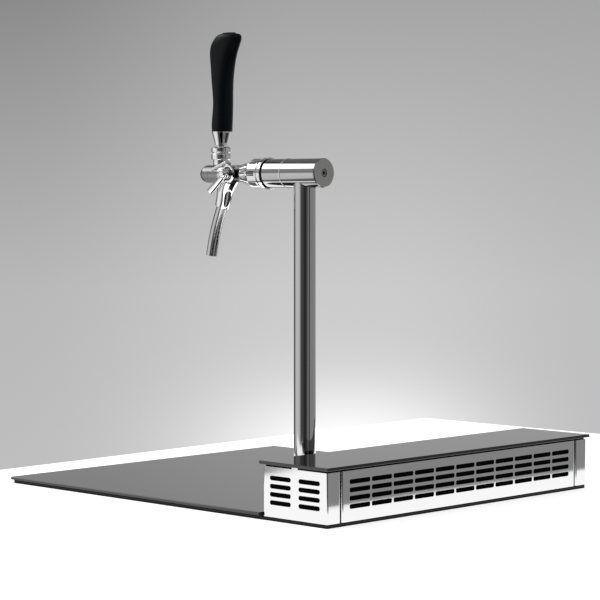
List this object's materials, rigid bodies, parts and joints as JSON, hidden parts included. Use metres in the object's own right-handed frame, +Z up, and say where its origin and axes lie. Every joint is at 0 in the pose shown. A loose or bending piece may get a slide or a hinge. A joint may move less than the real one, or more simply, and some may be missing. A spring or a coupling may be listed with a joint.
{
  "type": "beer dispenser tower on a glass worktop unit",
  "caption": "Black glass worktop unit with a slotted steel vent box, a polished column and a beer tap with a side flow lever and a black handle.",
  "frame": {"origin": "middle of the footprint on the underside, where the unit rests on the worktop", "axes": "+X to the user's right as they face the unit, +Y away from the user towards the vent box, +Z up; the tap points to -Y"},
  "size_m": [0.516, 0.602, 0.6068],
  "materials": {
    "black_rubber": "matte",
    "base_steel": "plain",
    "black_glass": "polished, black on the back",
    "box_steel": "brushed along its length",
    "filter_foam": "open foam",
    "screw_steel": "plain",
    "polished_steel": "mirror polished",
    "tap_chrome": "polished",
    "core_steel": "turned",
    "black_plastic": "smooth black",
    "handle_black": "satin black",
    "clear_line": "milky tube"
  },
  "bodies": {
    "stand": {"worktop_seal": "black_rubber", "base_plate": "base_steel", "glass_bedding": "black_rubber", "box_seal": "black_rubber", "lower_glass": "black_glass", "junction_bead": "black_rubber", "end_cap_right": "box_steel", "end_cap_left": "box_steel", "rear_grille": "box_steel", "front_panel": "box_steel", "filter_mat_rear": "filter_foam", "filter_mat_right": "filter_foam", "filter_mat_left": "filter_foam", "box_screws": "screw_steel", "cover_gasket": "black_rubber", "cover_glass": "black_glass", "column_spigot": "core_steel", "rosette_seal": "black_rubber", "rosette": "polished_steel", "column_screws": "screw_steel", "column_tube": "polished_steel", "line_grommet": "black_rubber", "beer_line": "clear_line", "head_tube_rear": "polished_steel", "seam_ring": "polished_steel", "head_tube_front": "polished_steel", "head_end_cap": "polished_steel", "end_cap_screw": "screw_steel", "head_core": "core_steel", "head_spigot": "core_steel", "tap_shank": "core_steel", "head_ring": "black_plastic", "coupling_nut": "tap_chrome", "tap_gasket": "black_rubber", "tap_body": "tap_chrome", "front_plug": "tap_chrome", "spout": "tap_chrome", "bonnet_collar": "tap_chrome", "bonnet_nut": "tap_chrome", "ball_seat": "black_rubber", "side_gland": "tap_chrome", "side_seal": "black_rubber"},
    "handle_lever": {"tap_lever": "core_steel", "ferrule": "tap_chrome", "handle": "handle_black"},
    "valve": {"valve_stem": "core_steel", "piston_ring": "black_rubber"},
    "flow_control": {"flow_lever": "tap_chrome", "side_shaft": "core_steel", "flow_cap": "tap_chrome"},
    "flow_plug": {"flow_cone": "core_steel"}
  },
  "joints": [
    {"name": "tap_handle", "type": "hinge", "parent": "stand", "child": "handle_lever", "pos_m": [0.1485, 0.0063, 0.445], "axis": [1, 0, 0], "range_deg": [-12, 23]},
    {"name": "valve_travel", "type": "slide", "parent": "stand", "child": "valve", "axis": [0, 1, 0], "range_m": [-0.0034, 0.0064]},
    {"name": "flow_lever", "type": "hinge", "parent": "stand", "child": "flow_control", "pos_m": [0.1485, 0.0345, 0.424], "axis": [1, 0, 0], "range_deg": [-40, 40]},
    {"name": "flow_travel", "type": "slide", "parent": "stand", "child": "flow_plug", "axis": [0, 1, 0], "range_m": [-0.0015, 0.0015]}
  ],
  "couplings": [
    {"joint": "valve_travel", "follows": "tap_handle", "m_per_rad": 0.015},
    {"joint": "flow_travel", "follows": "flow_lever", "m_per_rad": -0.0019}
  ]
}
